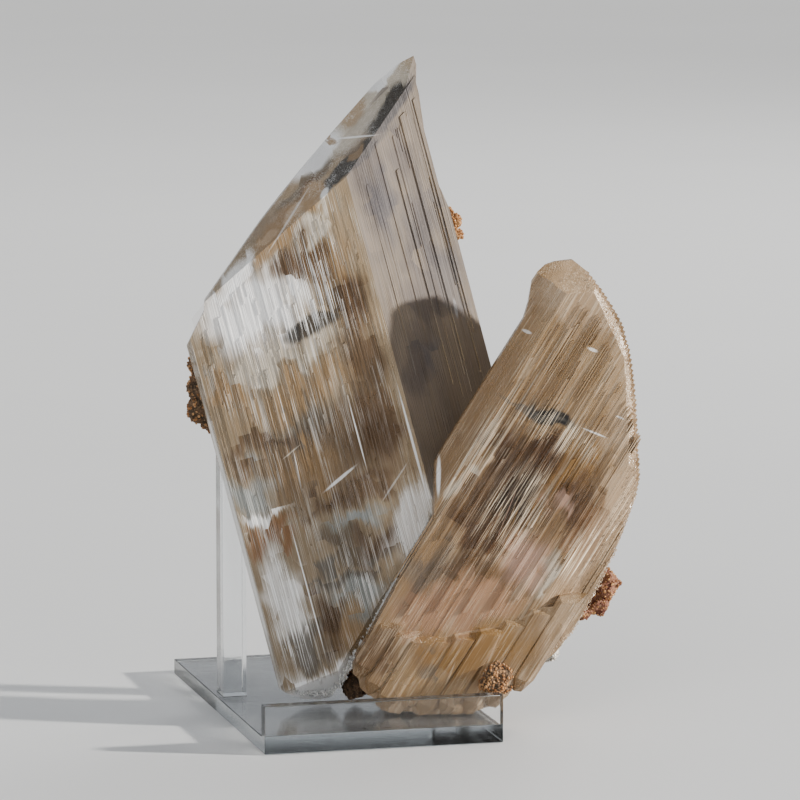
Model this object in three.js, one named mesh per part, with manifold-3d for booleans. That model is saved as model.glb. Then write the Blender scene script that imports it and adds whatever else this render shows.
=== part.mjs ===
// Two intergrown selenite crystals with crumbs of brown matrix, leaning on a clear acrylic stand.
// Millimetres, +Z up, +X to the right along the front lip, +Y to the back.
// The origin is the centre of the underside of the base plate.

import * as THREE from 'three';
import { ConvexGeometry } from 'three/addons/geometries/ConvexGeometry.js';
import { mergeVertices } from 'three/addons/utils/BufferGeometryUtils.js';
import Module from 'manifold-3d';

const wasm = await Module();
wasm.setup();

// Driving dimensions of the stand
const sheet = 5;
const baseWidth = 76;
const baseDepth = 133;
const lipHeight = 10;
const postWidth = 7.6;
const postDepth = 10;
const postInset = 1.9;
const postHeight = 112;
const postFrontSetback = 66.5;

// How the specimen stands: turned about the vertical, leaning back, with its lowest point near the base
const turnDegrees = -12;
const leanDegrees = -4;
const specimenSetback = 40;
const restGap = 0.3;

// Driving dimensions of the tall crystal: u runs across its front, y into its depth, w along it
const tallTilt = -14.7;
const tallDepth = 27;
const tallFrontLeft = -19.5;
const tallFrontRight = 41;
const tallRightEdge = 70.3;
const tallRightEdgeDepth = 16;
const tallLeftEdge = -21.2;
const tallLeftEdgeDepth = 5.2;
const tallBackLeft = 19;
const tallBackRight = 60;

// Driving dimensions of the short crystal, in the same terms
const shortTilt = 32;
const shortFront = -12;
const shortBack = 14;
const shortFrontLeft = -13;
const shortLeftEdge = -20.3;
const shortLeftEdgeDepth = -5.5;
const shortRightEdge = 45;

// Longer than any crystal, so a tool passes right through
const reach = 260;

// A repeatable run of random numbers from 0 to 1
function seeded(seed) {
  let state = seed;
  return () => {
    state = (state * 1664525 + 1013904223) % 4294967296;
    return state / 4294967296;
  };
}

function solidFrom(geometry) {
  const bare = geometry.clone();
  bare.deleteAttribute('normal');
  bare.deleteAttribute('uv');
  const merged = mergeVertices(bare, 1e-4);
  const vertProperties = new Float32Array(merged.attributes.position.array);
  const triVerts = new Uint32Array(merged.index.array);
  return new wasm.Manifold(new wasm.Mesh({ numProp: 3, vertProperties, triVerts }));
}

function geometryFrom(solid) {
  const mesh = solid.getMesh();
  const geometry = new THREE.BufferGeometry();
  const positions = new Float32Array(mesh.numVert * 3);
  for (let i = 0; i < mesh.numVert; i += 1) {
    for (let k = 0; k < 3; k += 1) {
      positions[i * 3 + k] = mesh.vertProperties[i * mesh.numProp + k];
    }
  }
  geometry.setAttribute('position', new THREE.BufferAttribute(positions, 3));
  geometry.setIndex(new THREE.BufferAttribute(new Uint32Array(mesh.triVerts), 1));
  geometry.computeVertexNormals();
  return geometry;
}

function joined(solids) {
  return solids.reduce((sum, solid) => sum.add(solid));
}

// The largest outer skin of a solid, without pockets closed inside it or chips cut loose from it
function largestSkin(solid) {
  return solid.decompose().reduce((best, part) => (part.volume() > best.volume() ? part : best));
}

function extruded(points, depth) {
  const shape = new THREE.Shape(points.map(([a, b]) => new THREE.Vector2(a, b)));
  return new THREE.ExtrudeGeometry(shape, { depth, bevelEnabled: false, steps: 1 });
}

// A bar along w with the section's points given as (u, y)
function barAlong(section, bottom, top) {
  return solidFrom(extruded(section, top - bottom).translate(0, 0, bottom));
}

// A plate through the depth with the outline's points given as (u, w)
function plateThrough(outline, front, back) {
  return solidFrom(extruded(outline, back - front).rotateX(Math.PI / 2).translate(0, back, 0));
}

function hull(points) {
  return solidFrom(new ConvexGeometry(points.map(([x, y, z]) => new THREE.Vector3(x, y, z))));
}

// Everything on the far side of a plane, in the direction of its normal
function beyond(point, normal) {
  const box = new THREE.BoxGeometry(2 * reach, 2 * reach, 2 * reach).translate(0, 0, reach);
  const up = new THREE.Vector3(0, 0, 1);
  const along = new THREE.Vector3(...normal).normalize();
  box.applyQuaternion(new THREE.Quaternion().setFromUnitVectors(up, along));
  return solidFrom(box.translate(...point));
}

// One side of a section, broken into long flat strips that lie up to a given depth below it
function striatedSide(from, to, strips, depth, random) {
  const [dx, dy] = [to[0] - from[0], to[1] - from[1]];
  const length = Math.hypot(dx, dy);
  const inward = [-dy / length, dx / length];
  const widths = Array.from({ length: strips }, () => 0.4 + random());
  const total = widths.reduce((sum, width) => sum + width, 0);
  const points = [];
  let along = 0;
  widths.forEach((width, i) => {
    const sunk = i === 0 || i === strips - 1 ? 0 : depth * (0.15 + 0.85 * random());
    const ends = [along / total, (along + width) / total];
    ends.forEach((t) => points.push([
      from[0] + dx * t + inward[0] * sunk,
      from[1] + dy * t + inward[1] * sunk,
    ]));
    along += width;
  });
  points.pop();
  return points;
}

// A run of small stairs between two points: fibres of the crystal that end at different heights
function stairs(from, to, count, roughness, random) {
  const points = [];
  for (let i = 0; i < count; i += 1) {
    const [a, b] = [i / count, (i + 1) / count];
    const lift = (random() - 0.5) * roughness;
    points.push([from[0] + (to[0] - from[0]) * a, from[1] + (to[1] - from[1]) * ((a + b) / 2) + lift]);
    points.push([from[0] + (to[0] - from[0]) * (b - 0.12 / count), points[points.length - 1][1]]);
  }
  return points;
}

// A long strip with slanted ends lying on a face at y = 0, standing out by rise and let in by sink
function lath(middle, width, bottom, top, rise, sink) {
  const [left, right] = [middle - width / 2, middle + width / 2];
  const slant = width * 0.9;
  const outline = [[left, bottom], [right, bottom + slant], [right, top + slant * 0.6], [left, top]];
  return extruded(outline, rise + sink).rotateX(Math.PI / 2).translate(0, sink, 0);
}

// Places a face's laths, drawn by (distance along the face, depth, height), on a slanting side
function onSide(geometry, corner, towards) {
  const angle = Math.atan2(towards[1] - corner[1], towards[0] - corner[0]);
  return solidFrom(geometry.rotateZ(angle).translate(corner[0], corner[1], 0));
}

// A rough stone made of overlapping faceted lumps
function stone(lumps, seed) {
  const random = seeded(seed);
  return joined(lumps.map(([x, y, z, radius]) => {
    const ball = new THREE.IcosahedronGeometry(radius, 1);
    ball.deleteAttribute('normal');
    ball.deleteAttribute('uv');
    const merged = mergeVertices(ball, 1e-4);
    const position = merged.attributes.position;
    for (let i = 0; i < position.count; i += 1) {
      const swell = 0.72 + 0.42 * random();
      position.setXYZ(i, position.getX(i) * swell, position.getY(i) * swell, position.getZ(i) * swell);
    }
    return solidFrom(merged.rotateZ(random() * 6).translate(x, y, z));
  }));
}

// The tall crystal, upright in its own axes
function tallCrystal() {
  const random = seeded(11);
  const left = [tallLeftEdge, tallLeftEdgeDepth];
  const frontLeft = [tallFrontLeft, 0];
  const frontRight = [tallFrontRight, 0];
  const right = [tallRightEdge, tallRightEdgeDepth];
  const backRight = [tallBackRight, tallDepth];
  const backLeft = [tallBackLeft, tallDepth];
  const section = [
    ...striatedSide(left, frontLeft, 1, 0, random),
    ...striatedSide(frontLeft, frontRight, 13, 0.22, random),
    ...striatedSide(frontRight, right, 11, 0.16, random),
    ...striatedSide(right, [tallRightEdge - 2, tallRightEdgeDepth + 5], 1, 0, random),
    ...striatedSide([tallRightEdge - 2, tallRightEdgeDepth + 5], backRight, 3, 0.5, random),
    ...striatedSide(backRight, backLeft, 9, 0.6, random),
    ...striatedSide(backLeft, left, 9, 0.7, random),
  ];

  const lowerEnd = stairs([70, 83], [4, 14.5], 36, 0.6, random).reverse();
  const outline = [
    [-21.6, 12], [-15.5, 6.7], [-10.2, 4.5], [-6.3, 4.4], [0, 9.3],
    ...lowerEnd,
    [72, 88], [72, 134], [70.6, 141.5], [69.3, 150], [67.8, 156], [68.2, 163.5], [70.2, 181],
    [72.1, 191.9], [71.7, 193.3], [66.8, 192.3], [59.4, 188.8], [43.5, 178.3], [27.5, 167.3],
    [11.2, 155.3], [-12.1, 136.4], [-13.1, 133.2], [-18.2, 127.6], [-21.6, 123.6],
  ];
  const body = barAlong(section, 0, 200).intersect(plateThrough(outline, -5, 60));

  // Long strips that stand out on the front face: middle, width, bottom, top, rise
  const frontStrips = [
    [-15, 1.4, 20, 116, 0.25], [-9, 1, 60, 130, 0.2], [-4.5, 1.2, 14, 62, 0.4], [1, 1.4, 24, 110, 0.3],
    [6.5, 1, 74, 146, 0.2], [10, 1.3, 26, 92, 0.25], [15, 1, 40, 128, 0.2], [19, 1.4, 34, 80, 0.35],
    [23.5, 0.8, 70, 96, 0.4], [27, 1.2, 48, 112, 0.25], [31, 1, 58, 150, 0.2], [34.6, 1, 54, 96, 0.3],
    [38, 0.9, 64, 140, 0.2],
  ];
  // The same along the slanting right-hand face, measured from its front edge
  const sideStrips = [
    [6.5, 1, 96, 158, 0.12], [13.6, 1.2, 100, 170, 0.15], [18.6, 1, 90, 160, 0.25],
    [25.4, 2.2, 96, 176, 0.3], [31, 1.2, 104, 180, 0.35],
  ];
  // Shallow hollows let into the front face: middle, width, bottom, top, depth
  const hollows = [
    [-12, 1.2, 30, 74, 0.3], [4, 1, 116, 140, 0.3], [13, 1.2, 98, 116, 0.35], [22, 1, 50, 84, 0.3],
    [29, 0.9, 116, 146, 0.3], [36.5, 0.8, 100, 132, 0.35], [-1.5, 0.8, 66, 98, 0.35],
  ];
  const raised = [
    ...frontStrips.map(([at, width, low, high, rise]) => solidFrom(lath(at, width, low, high, rise, 1.6))),
    ...sideStrips.map(([at, width, low, high, rise]) => (
      onSide(lath(at, width, low, high, rise, 1.8), frontRight, right)
    )),
  ];
  const sunk = hollows.map(([at, width, low, high, deep]) => solidFrom(lath(at, width, low, high, 2, deep)));

  // The sloping facets of the upper end, and the worn facets at the foot
  const cuts = [
    beyond([-11.2, 0, 136.5], [-0.5, -0.62, 1]),
    beyond([30, 9, 166.5], [-0.56, -0.34, 1]),
    beyond([30, 27, 171], [-0.62, 0.9, 1]),
    beyond([-8, 0, 12], [0.1, -1, -0.85]),
    beyond([-21, 3, 10], [-1, -0.5, -0.42]),
    beyond([-10, 27, 12], [0, 1, -0.8]),
    beyond([22, 0, 36], [0.6, -1.2, -0.62]),
    beyond([4, 27, 22], [0.5, 1, -0.6]),
  ];
  const shaped = [...sunk, ...cuts].reduce((solid, tool) => solid.subtract(tool), joined([body, ...raised]));

  // The sliver that the upper end draws out to at its right-hand corner
  const sliver = hull([
    [71.8, 17.6, 193.4], [66.8, 20.5, 192.2], [60, 25, 188.9], [70.3, 16, 185], [64, 12.8, 180],
    [60, 24, 178], [68.3, 21, 178], [71.9, 17.4, 190.5],
  ]);
  return geometryFrom(joined([shaped, sliver]));
}

// The short crystal with its curved, stepped right border, upright in its own axes
function shortCrystal() {
  const random = seeded(23);
  const left = [shortLeftEdge - 4, shortLeftEdgeDepth - 2.2];
  const frontLeft = [shortFrontLeft, shortFront];
  const section = [
    ...striatedSide(left, frontLeft, 3, 0.3, random),
    ...striatedSide(frontLeft, [32, shortFront], 17, 0.35, random),
    ...striatedSide([32, shortFront], [shortRightEdge + 1, shortFront + 9], 6, 0.5, random),
    ...striatedSide([shortRightEdge + 1, shortFront + 9], [shortRightEdge, shortBack - 8], 3, 0.4, random),
    ...striatedSide([shortRightEdge, shortBack - 8], [30, shortBack], 4, 0.5, random),
    ...striatedSide([30, shortBack], [-8, shortBack], 9, 0.7, random),
    ...striatedSide([-8, shortBack], left, 5, 0.5, random),
  ];

  const leftSide = [
    [-24.2, 144.3], [-21.4, 138], [-20, 133], [-20.2, 114], [-20.3, 86.9], [-19.9, 79.8],
    [-15.3, 72.3], [-11.2, 65.1], [-9.9, 40.4], [-8.8, 20.7], [-8.9, 15], [-6.1, 11.3],
  ];
  const footEdge = [
    [-2.7, 7.5], [2, 7], [5.2, 6.7], [7.4, 5.5], [11.7, 7], [12.2, 9.2], [16.2, 9.8], [23.2, 13.3],
    [30.6, 19.3], [35, 24.2], [37.8, 29.6], [41.2, 39.1], [44.8, 48.8], [45.7, 57.5], [45.2, 71.4],
    [43.3, 86.8],
  ];
  const border = [
    [43.2, 88], [41.8, 95.4], [39.8, 104.2], [37.2, 110], [30.9, 119], [23.8, 129.2], [18, 136.8],
    [12.6, 142.8], [7.2, 147.5], [1.8, 150.7], [-5.3, 153.9], [-11.6, 156.2],
  ];
  const steppedBorder = (inset) => {
    const inner = border.map(([u, w]) => [u - inset, w - inset]);
    return inner.slice(1).flatMap((point, i) => {
      const length = Math.hypot(point[0] - inner[i][0], point[1] - inner[i][1]);
      return stairs(inner[i], point, Math.round(length / 1.5), 0.35, random);
    });
  };
  const tip = [[-16.3, 156.6], [-20.7, 153.5], [-23.1, 150.9], [-24.1, 147.7]];

  // Three sheets of growth, each with its own stepped border
  const sheets = [
    [shortFront - 5, shortFront + 4.5, 0.9],
    [shortFront + 4.4, shortBack - 8, 0],
    [shortBack - 8.1, shortBack + 5, 2.4],
  ].map(([front, back, inset]) => (
    plateThrough([...leftSide, ...footEdge, ...steppedBorder(inset), ...tip], front, back)
  ));
  const body = barAlong(section, 0, 170).intersect(joined(sheets));

  // Ridges that run along the front face: middle, width, bottom, top, rise
  const ridges = [
    [-9.5, 1.2, 40, 118, 0.3], [-6, 1, 60, 138, 0.4], [-2.4, 1.4, 34, 96, 0.35], [1.4, 1, 70, 140, 0.3],
    [5, 1.4, 40, 104, 0.5], [9.2, 1, 64, 98, 0.55], [12.6, 1.4, 44, 92, 0.45], [16.4, 1, 78, 128, 0.3],
    [20, 1.4, 50, 110, 0.45], [24.4, 1, 56, 96, 0.4], [28, 1.2, 60, 108, 0.3],
  ];
  const raised = ridges.map(([at, width, low, high, rise]) => (
    solidFrom(lath(at, width, low, high, rise, 1.9).translate(0, shortFront, 0))
  ));

  // Overlapping finger-like lobes across the foot: middle, foot end, head end, half width
  const fingers = [
    [-4.6, 9.6, 31, 3.9], [0.6, 6.8, 31, 4], [6.2, 5.2, 32.5, 4.2], [11.8, 8.2, 36, 4.1],
    [17.2, 9.4, 40.5, 4.3], [23.2, 13.2, 46, 4.2], [28.6, 17.6, 52.5, 4.2], [34, 23.6, 60, 4.2],
    [39, 32, 67.5, 3.6],
  ];
  const lobes = fingers.map(([across, foot, head, half], i) => {
    const proud = shortFront - 1 - (i % 3) * 0.45;
    const back = shortFront + 7;
    return hull([
      [across - half, shortFront + 0.6, foot + 5], [across - half * 0.6, proud + 0.5, foot + 4],
      [across + half * 0.5, proud + 0.3, foot + 4.6], [across + half, shortFront + 0.6, foot + 6],
      [across - half * 0.6, shortFront + 1.5, foot + 0.4], [across + half * 0.6, shortFront + 1.2, foot + 0.8],
      [across, shortFront + 0.4, foot], [across - half, back, foot + 3], [across + half, back, foot + 4],
      [across - half, shortFront + 0.5, head - 2.6], [across - half * 0.6, proud + 0.2, head - 4],
      [across + half * 0.6, proud, head - 1.6], [across + half, shortFront + 0.5, head + 2.6],
      [across - half, back, head - 2], [across + half, back, head],
    ]);
  });

  // Facets of the tip, the rounded right border, and the slope of the foot
  const cuts = [
    beyond([-14, shortFront, 146], [-0.35, -1, 0.55]),
    beyond([2, shortFront, 146], [0.42, -1, 0.66]),
    beyond([26, shortFront, 120], [0.72, -1, 0.5]),
    beyond([37, shortFront, 88], [1, -1.05, 0.12]),
    beyond([-16, shortBack, 132], [-0.4, 1, 0.5]),
    beyond([20, shortBack, 118], [0.6, 1, 0.5]),
    beyond([16, shortBack, 14], [0.2, 1, -0.9]),
  ];
  const shaped = cuts.reduce((solid, tool) => solid.subtract(tool), joined([body, ...raised]));
  return geometryFrom(joined([shaped, ...lobes]));
}

function turned(geometry, degrees) {
  return geometry.applyMatrix4(new THREE.Matrix4().makeRotationY(THREE.MathUtils.degToRad(degrees)));
}

// The group that carries the whole specimen, turned and leaning
const specimen = new THREE.Group();
specimen.position.set(0, specimenSetback - baseDepth / 2, sheet);
specimen.rotation.order = 'ZXY';
specimen.rotation.z = THREE.MathUtils.degToRad(turnDegrees);
specimen.rotation.x = THREE.MathUtils.degToRad(leanDegrees);
specimen.updateMatrixWorld(true);

// The base and the posts as the specimen's own axes see them, grown by the gap that keeps it clear
function clearance(width, depth, height, x, y, z) {
  const box = new THREE.BoxGeometry(width + 2 * restGap, depth + 2 * restGap, height + 2 * restGap);
  box.translate(x, y, z);
  return solidFrom(box.applyMatrix4(specimen.matrixWorld.clone().invert()));
}

const postX = (baseWidth - postWidth) / 2 - postInset;
const postY = postFrontSetback + postDepth / 2 - baseDepth / 2;
const postZ = sheet + postHeight / 2;
const standClearance = joined([
  clearance(2 * reach, 2 * reach, reach, 0, 0, sheet - reach / 2),
  clearance(postWidth, postDepth, postHeight, -postX, postY, postZ),
  clearance(postWidth, postDepth, postHeight, postX, postY, postZ),
]);

const crystals = largestSkin(solidFrom(turned(tallCrystal(), tallTilt))
  .add(solidFrom(turned(shortCrystal(), shortTilt)))
  .subtract(standClearance));

// Crumbs of matrix that cling to the crystals, each let in behind the crystal's own surface
function crumb(lumps, seed, away) {
  const shift = new THREE.Vector3(...away).normalize().multiplyScalar(restGap);
  const grown = [[0, 0, 0], [shift.x, shift.y, shift.z]].map(([x, y, z]) => (
    solidFrom(geometryFrom(crystals).translate(x, y, z))
  ));
  const cut = grown.reduce((solid, tool) => solid.subtract(tool), stone(lumps, seed));
  return geometryFrom(largestSkin(cut.subtract(standClearance)));
}

function add(parent, name, geometry, material, x = 0, y = 0, z = 0) {
  const mesh = new THREE.Mesh(geometry, material);
  mesh.name = name;
  mesh.position.set(x, y, z);
  parent.add(mesh);
}

const selenite = new THREE.MeshStandardMaterial({ color: 0xd9cfc0, roughness: 0.18, metalness: 0 });
const brownMatrix = new THREE.MeshStandardMaterial({ color: 0x7a5638, roughness: 0.95, metalness: 0 });
const redMatrix = new THREE.MeshStandardMaterial({ color: 0x8d5240, roughness: 0.95, metalness: 0 });
const paleMatrix = new THREE.MeshStandardMaterial({ color: 0xb9b2a4, roughness: 0.9, metalness: 0 });
const acrylic = new THREE.MeshStandardMaterial({ color: 0xe8eef0, roughness: 0.05, metalness: 0 });

add(specimen, 'selenite_crystals', geometryFrom(crystals), selenite);
add(specimen, 'matrix_left', crumb([
  [-46, 12, 101, 6.4], [-47, 12, 94, 5.8], [-44, 14, 90.5, 4.6], [-48.5, 10, 108, 3.8],
  [-42, 14.5, 97, 5.4],
], 3, [-1, 0.4, 0]), brownMatrix);
add(specimen, 'matrix_upper_right', crumb([
  [32.6, 21, 152.5, 3], [33.4, 21, 148.6, 2.7], [31.2, 23, 155, 2.2],
], 5, [1, 0.3, 0]), brownMatrix);
add(specimen, 'matrix_lower_right', crumb([
  [80.4, 8, 38.2, 5.2], [77.4, 9, 31.5, 4.6], [74.4, 8, 36.4, 5], [73, 7, 29.6, 3.4],
], 9, [1, 0.2, -0.6]), redMatrix);
add(specimen, 'matrix_knob', crumb([
  [61.5, 3, 18.4, 4.4], [58.4, 4, 16.4, 3.2], [64, 4, 20.4, 2.8],
], 13, [0.8, 0.2, -0.8]), paleMatrix);
add(specimen, 'matrix_foot', crumb([
  [44.5, -13, 11, 5.2], [48, -11, 12.6, 3.2], [41.6, -14.4, 9.4, 3.2], [46.4, -12, 7.6, 3],
], 17, [0.6, -0.8, -0.4]), brownMatrix);
add(specimen, 'matrix_between', crumb([
  [1.5, 8, 6.6, 5], [4.6, 10, 9.4, 4.6],
], 19, [-0.4, -0.8, -0.5]), brownMatrix);

const stand = new THREE.Group();
const plate = new THREE.BoxGeometry(baseWidth, baseDepth, sheet);
const lip = new THREE.BoxGeometry(baseWidth, sheet, lipHeight);
add(stand, 'base_plate', plate, acrylic, 0, 0, sheet / 2);
add(stand, 'front_lip', lip, acrylic, 0, (sheet - baseDepth) / 2, sheet + lipHeight / 2);
[['post_left', -postX], ['post_right', postX]].forEach(([name, x]) => {
  add(stand, name, new THREE.BoxGeometry(postWidth, postDepth, postHeight), acrylic, x, postY, postZ);
});

const group = new THREE.Group();
group.add(specimen, stand);

export default group;
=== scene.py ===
"""Two intergrown selenite crystals with crumbs of matrix, leaning on a clear acrylic stand.

Points on a crystal are in its own axes, in millimetres: u across the front face, y into the
depth and w along the crystal. Everything else is in metres, in the frame of the part.
"""

import math
import random

import bmesh
import bpy
from mathutils import Euler, Matrix, Vector, noise


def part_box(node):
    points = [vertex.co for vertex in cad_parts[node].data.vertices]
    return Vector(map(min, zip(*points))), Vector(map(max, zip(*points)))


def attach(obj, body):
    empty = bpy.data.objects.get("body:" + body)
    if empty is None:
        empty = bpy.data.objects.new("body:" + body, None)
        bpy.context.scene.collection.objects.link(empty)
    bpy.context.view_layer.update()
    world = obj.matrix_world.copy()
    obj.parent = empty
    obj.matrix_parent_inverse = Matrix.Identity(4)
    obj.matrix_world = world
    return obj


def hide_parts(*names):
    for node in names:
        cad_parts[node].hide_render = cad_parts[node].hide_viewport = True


MM = 0.001

# How the specimen stands on its base, and how far each crystal leans from upright within it
SETBACK = 40.0
SHEET = 5.0
TURN = math.radians(-12)
LEAN = math.radians(-4)
TALL_TILT = math.radians(-14.7)
SHORT_TILT = math.radians(32)

# Sections of the crystals, in their own axes
TALL_FRONT_LEFT = -19.5
TALL_FRONT_RIGHT = 41.0
TALL_RIGHT_EDGE = (70.3, 16.0)
TALL_LEFT_EDGE = (-21.2, 5.2)
TALL_BACK = 27.0
SHORT_FRONT = -12.0

# The plane where the crystals meet: its place and slope seen from the front, and the tall side's front
MEETING_AT = (4.9, 13.7)
MEETING_SLOPE = 1.038
MEETING_FRONT = -1.0

# Light
SELENITE_IOR = 1.52
ACRYLIC_IOR = 1.49
FINE_LINE_DEPTH = 0.0007
KEY_DIRECTION = Vector((-0.90, 0.37, -0.285))

# The photograph's camera
CAMERA_AT = Vector((-0.4036, -1.6510, 0.3473))
CAMERA_LOOK = Vector((0.2470, 0.9582, -0.1443))
CAMERA_LENS = 243.0
CAMERA_SENSOR = 36.0

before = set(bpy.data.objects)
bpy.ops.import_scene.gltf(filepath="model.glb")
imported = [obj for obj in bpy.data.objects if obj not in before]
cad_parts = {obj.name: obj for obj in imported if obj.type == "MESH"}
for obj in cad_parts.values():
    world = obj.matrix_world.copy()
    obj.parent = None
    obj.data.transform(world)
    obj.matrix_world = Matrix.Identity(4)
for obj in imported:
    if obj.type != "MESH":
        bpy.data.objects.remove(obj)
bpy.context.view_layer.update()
scene = bpy.context.scene
base_low, base_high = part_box("base_plate")
specimen_axes = (
    Matrix.Translation(Vector((0, base_low.y + SETBACK * MM, base_low.z + SHEET * MM)))
    @ Matrix.Rotation(TURN, 4, "Z")
    @ Matrix.Rotation(LEAN, 4, "X")
)
TALL = specimen_axes @ Matrix.Rotation(TALL_TILT, 4, "Y") @ Matrix.Scale(MM, 4)
SHORT = specimen_axes @ Matrix.Rotation(SHORT_TILT, 4, "Y") @ Matrix.Scale(MM, 4)


# Meshes

def new_object(name, vertices, faces):
    mesh = bpy.data.meshes.new(name)
    mesh.from_pydata([tuple(v) for v in vertices], [], faces)
    mesh.validate()
    mesh.update()
    thing = bpy.data.objects.new(name, mesh)
    scene.collection.objects.link(thing)
    return thing


def object_of(name, work):
    """Makes an object of free geometry, which is then gone."""
    mesh = bpy.data.meshes.new(name)
    work.to_mesh(mesh)
    work.free()
    thing = bpy.data.objects.new(name, mesh)
    scene.collection.objects.link(thing)
    return thing


def recalculated(thing):
    """Points every face of a closed mesh outwards."""
    work = bmesh.new()
    work.from_mesh(thing.data)
    bmesh.ops.recalc_face_normals(work, faces=work.faces)
    work.to_mesh(thing.data)
    work.free()
    return thing


def remove(thing):
    mesh = thing.data
    bpy.data.objects.remove(thing)
    bpy.data.meshes.remove(mesh)


def baked(thing):
    """Replaces the mesh by what its modifiers make of it."""
    graph = bpy.context.evaluated_depsgraph_get()
    mesh = bpy.data.meshes.new_from_object(thing.evaluated_get(graph))
    thing.modifiers.clear()
    old = thing.data
    thing.data = mesh
    bpy.data.meshes.remove(old)
    return thing


def combine(thing, tool, operation):
    """Joins, cuts or intersects a closed mesh with another, which is then gone."""
    modifier = thing.modifiers.new("combine", "BOOLEAN")
    modifier.operation = operation
    modifier.solver = "MANIFOLD"
    modifier.object = tool
    baked(thing)
    remove(tool)
    return thing


def cad_copy(name, node, axes):
    """A copy of a CAD node's mesh in a crystal's own axes, with its shared corners merged."""
    work = bmesh.new()
    work.from_mesh(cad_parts[node].data)
    work.transform(axes.inverted())
    bmesh.ops.remove_doubles(work, verts=work.verts, dist=0.0005)
    bmesh.ops.dissolve_degenerate(work, edges=work.edges, dist=0.0002)
    return object_of(name, work)


def prism(name, section, bottom, top, upright=True):
    """A closed bar whose section is (u, y) along w, or (u, w) through y where upright is False."""
    count = len(section)
    if upright:
        rings = [[(u, y, level) for u, y in section] for level in (bottom, top)]
    else:
        rings = [[(u, level, w) for u, w in section] for level in (bottom, top)]
    sides = [(i, (i + 1) % count, count + (i + 1) % count, count + i) for i in range(count)]
    caps = [tuple(range(count)), tuple(range(2 * count - 1, count - 1, -1))]
    return recalculated(new_object(name, rings[0] + rings[1], sides + caps))


class Face:
    """A flat side of a crystal: a line of its section, with s along it and h standing out of it."""

    def __init__(self, start, end):
        self.start = Vector(start)
        along = Vector(end) - self.start
        self.length = along.length
        self.along = along.normalized()
        self.out = Vector((self.along.y, -self.along.x))

    def point(self, s, h, w):
        at = self.start + self.along * s + self.out * h
        return (at.x, at.y, w)


def bars(name, face, strips):
    """Long bars with sloping ends on a face: (s, width, bottom, top, from height, to height) each."""
    vertices = []
    faces = []
    for s, width, bottom, top, root, crest in strips:
        inset = width * 0.16
        slope = min(1.4, (top - bottom) * 0.2)
        slant = width * 0.8
        first = len(vertices)
        for h, i, e in ((root, 0.0, 0.0), (crest, inset, slope)):
            vertices += [
                face.point(s + i, h, bottom + e),
                face.point(s + width - i, h, bottom + slant + e),
                face.point(s + width - i, h, top + slant - e),
                face.point(s + i, h, top - e),
            ]
        quads = ((0, 1, 2, 3), (4, 7, 6, 5), (0, 4, 5, 1), (1, 5, 6, 2), (2, 6, 7, 3), (3, 7, 4, 0))
        for quad in quads:
            faces.append(tuple(first + corner for corner in quad))
    return recalculated(new_object(name, vertices, faces))


def lanes(seed, start, end, pitch, low, high, longest, share):
    """Random lengths along side-by-side lanes: (s, width, bottom, top)."""
    rng = random.Random(seed)
    found = []
    s = start
    while s < end - pitch * 0.4:
        width = pitch * rng.uniform(0.45, 0.9)
        w = low(s) + rng.uniform(0, longest)
        while w < high(s) - 4:
            length = rng.uniform(longest * 0.15, longest)
            if rng.random() < share:
                found.append((s, width, w, min(w + length, high(s) - 3)))
            w += length + rng.uniform(3, longest * 0.5)
        s += width + pitch * rng.uniform(0.12, 0.4)
    return found


def with_heights(found, seed, root, low, high):
    rng = random.Random(seed)
    return [(*strip, root, rng.uniform(low, high)) for strip in found if strip[3] - strip[2] > 2]


def keep_axes(thing, axes):
    """Stores each corner's place in the crystal's own axes and moves the mesh into the part's frame."""
    stored = thing.data.attributes.new("crystal_axes", "FLOAT_VECTOR", "POINT")
    stored.data.foreach_set("vector", [c for v in thing.data.vertices for c in v.co])
    thing.data.transform(axes)
    thing.data.update()
    return thing


# Materials

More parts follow.
